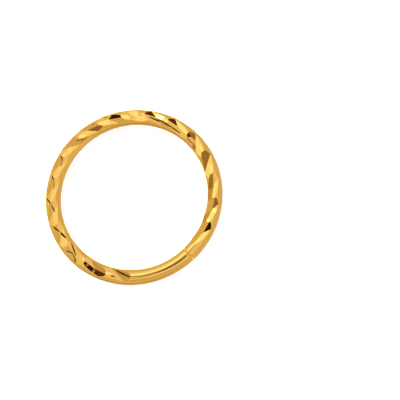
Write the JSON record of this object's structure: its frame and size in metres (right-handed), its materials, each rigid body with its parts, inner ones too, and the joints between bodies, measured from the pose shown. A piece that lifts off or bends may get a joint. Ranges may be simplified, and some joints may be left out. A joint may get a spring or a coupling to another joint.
{
  "type": "hoop earring",
  "caption": "Round hollow gold hoop earring with diagonal diamond-cut flats on its front, a plain stretch and a closed seam over a hidden ear pin.",
  "frame": {"origin": "centre of the hoop, on the plane that its back rests on", "axes": "+Z along the hoop's axis, out of its cut front; angles run counterclockwise from +X, and the plain stretch and the seam are near -Y"},
  "size_m": [0.02, 0.02, 0.0018],
  "materials": {
    "polished_gold": "mirror-polished yellow gold, with sharp diamond-cut flats",
    "pin_gold": "drawn gold wire, polished"
  },
  "bodies": {
    "root": {"hoop_tube": "polished_gold", "ear_pin": "pin_gold"}
  },
  "joints": []
}
